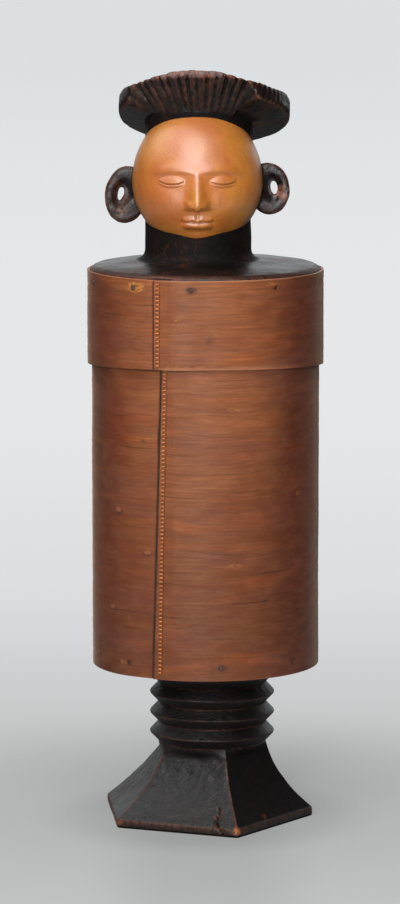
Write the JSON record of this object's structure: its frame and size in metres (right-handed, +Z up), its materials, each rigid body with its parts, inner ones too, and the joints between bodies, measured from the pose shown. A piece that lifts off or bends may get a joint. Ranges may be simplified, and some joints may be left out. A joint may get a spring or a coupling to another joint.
{
  "type": "lidded box",
  "caption": "Tall round box of lapped and laced bark on a ringed, five-sided wooden foot, with a lift-off lid that carries a carved head with pierced ears and a fan of hair.",
  "frame": {"origin": "on the ground, under the middle of the box's outer size", "axes": "+Z up through the foot, the box and the head; the carved face looks along -Y; +X to the viewer's right"},
  "size_m": [0.1765, 0.1777, 0.568],
  "materials": {
    "black_wood": "blackened and worn, brown at the edges",
    "face_wood": "bare honey-coloured wood, rubbed to a satin polish",
    "body_bark": "smooth reddish-brown bark with level fibres",
    "lid_bark": "smooth reddish-brown bark, a little darker than the body",
    "vine": "split vine, rubbed",
    "peg_wood": "dark end grain"
  },
  "bodies": {
    "box": {"foot_base": "black_wood", "body_bark": "body_bark", "body_seam_lacing": "vine", "body_peg_1": "peg_wood", "body_peg_2": "peg_wood", "body_peg_3": "peg_wood", "body_peg_4": "peg_wood", "body_peg_5": "peg_wood", "body_peg_6": "peg_wood", "body_peg_7": "peg_wood", "body_peg_8": "peg_wood", "body_peg_9": "peg_wood"},
    "lid": {"lid_head": "black_wood", "lid_bark": "lid_bark", "lid_seam_lacing": "vine", "lid_peg_1": "peg_wood", "lid_peg_2": "peg_wood", "lid_peg_3": "peg_wood", "lid_peg_4": "peg_wood", "lid_peg_5": "peg_wood", "lid_peg_6": "peg_wood", "lid_peg_7": "peg_wood", "lid_peg_8": "peg_wood", "lid_peg_9": "peg_wood", "lid_peg_10": "peg_wood"}
  },
  "joints": [
    {"name": "lid_lift", "type": "slide", "parent": "box", "child": "lid", "axis": [0, 0, 1], "range_m": [0, 0.15]}
  ]
}
